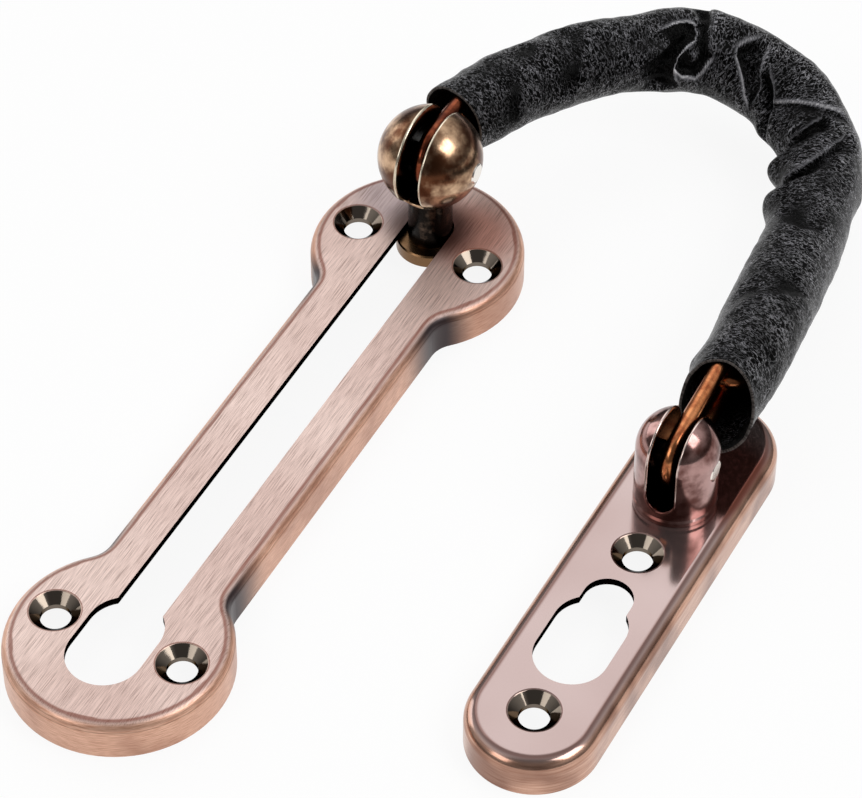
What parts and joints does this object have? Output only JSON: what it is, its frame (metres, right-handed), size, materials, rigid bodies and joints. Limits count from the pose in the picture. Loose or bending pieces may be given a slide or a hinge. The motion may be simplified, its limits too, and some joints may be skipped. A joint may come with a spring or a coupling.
{
  "type": "door chain",
  "caption": "Door chain with a keyhole track plate, a sliding ball stud, a wire chain in a soft sleeve and a swivelling anchor plate.",
  "frame": {"origin": "middle of the track plate on its back plane, under the centre of its four screw holes", "axes": "+Y along the track's slot towards the locked end, +Z out of the door towards the ball, +X towards the anchor plate"},
  "size_m": [0.0931, 0.1841, 0.032],
  "materials": {
    "copper_plate": "copper plated, brushed lengthwise",
    "satin_copper": "copper plated, satin",
    "copper_wire": "copper plated, bright",
    "antique_brass": "antique, mottled",
    "dark_copper": "antique copper, glossy",
    "dark_bronze": "darkened",
    "polished_pin": "polished",
    "black_leather": "fine grain, soft sheen"
  },
  "bodies": {
    "track": {"track_plate": "copper_plate"},
    "slider": {"slide_stud": "dark_bronze"},
    "ball": {"ball_head": "antique_brass", "ball_pin": "polished_pin"},
    "link_1": {"chain_link_1": "copper_wire"},
    "link_2": {"chain_link_2": "copper_wire"},
    "link_3": {"chain_link_3": "copper_wire"},
    "link_4": {"chain_link_4": "copper_wire"},
    "link_5": {"chain_link_5": "copper_wire", "chain_sleeve": "black_leather"},
    "link_6": {"chain_link_6": "copper_wire"},
    "link_7": {"chain_link_7": "copper_wire"},
    "link_8": {"chain_link_8": "copper_wire"},
    "link_9": {"chain_link_9": "copper_wire"},
    "swivel": {"swivel_head": "dark_copper", "swivel_pin": "polished_pin", "swivel_washer": "dark_bronze"},
    "anchor": {"anchor_plate": "satin_copper"}
  },
  "joints": [
    {"name": "stud_slide", "type": "slide", "parent": "track", "child": "slider", "axis": [0, 1, 0], "range_m": [-0.1047, 0]},
    {"name": "ball_swivel", "type": "hinge", "parent": "slider", "child": "ball", "pos_m": [0, 0.0542, 0], "axis": [0, 0, 1], "range_deg": [-15, 150]},
    {"name": "ball_pin_pivot", "type": "hinge", "parent": "ball", "child": "link_1", "pos_m": [0, 0.0542, 0.0234], "axis": [1, 0, 0], "range_deg": [0, 100]},
    {"name": "hook_1", "type": "hinge", "parent": "link_1", "child": "link_2", "pos_m": [0, 0.07398, 0.02262], "axis": [0, -0.0394, -0.9992], "range_deg": [-83, 12], "deforming": ["chain_sleeve"]},
    {"name": "hook_2", "type": "hinge", "parent": "link_2", "child": "link_3", "pos_m": [0.00925, 0.08823, 0.0205], "axis": [-0.1084, -0.1248, -0.9862], "range_deg": [-58, 12], "deforming": ["chain_sleeve"]},
    {"name": "hook_3", "type": "hinge", "parent": "link_3", "child": "link_4", "pos_m": [0.02432, 0.10557, 0.01665], "axis": [0.1084, 0.1248, 0.9862], "range_deg": [-12, 87], "deforming": ["chain_sleeve"]},
    {"name": "hook_4", "type": "hinge", "parent": "link_4", "child": "link_5", "pos_m": [0.04071, 0.10905, 0.0132], "axis": [-0.1837, 0.1837, -0.9657], "range_deg": [-107, 3], "deforming": ["chain_sleeve"]},
    {"name": "hook_5", "type": "hinge", "parent": "link_5", "child": "link_6", "pos_m": [0.05662, 0.09314, 0.00715], "axis": [0.1837, -0.1837, 0.9657], "range_deg": [-20, 87], "deforming": ["chain_sleeve"]},
    {"name": "hook_6", "type": "hinge", "parent": "link_6", "child": "link_7", "pos_m": [0.05901, 0.07614, 0.00975], "axis": [0.0493, -0.2537, -0.966], "range_deg": [-47, 20], "deforming": ["chain_sleeve"]},
    {"name": "hook_7", "type": "hinge", "parent": "link_7", "child": "link_8", "pos_m": [0.06331, 0.05405, 0.01577], "axis": [-0.0493, 0.2537, 0.966], "range_deg": [-25, 59], "deforming": ["chain_sleeve"]},
    {"name": "hook_8", "type": "hinge", "parent": "link_8", "child": "link_9", "pos_m": [0.0639, 0.03719, 0.01961], "axis": [0, 0.157, -0.9876], "range_deg": [-52, 25], "deforming": ["chain_sleeve"]},
    {"name": "swivel_pin_pivot", "type": "hinge", "parent": "link_9", "child": "swivel", "pos_m": [0.0639, 0.01763, 0.0165], "axis": [1, 0, 0], "range_deg": [-100, 8]},
    {"name": "anchor_swivel", "type": "hinge", "parent": "swivel", "child": "anchor", "pos_m": [0.0639, 0.01763, 0], "axis": [0, 0, 1], "range_deg": [-45, 135]}
  ]
}
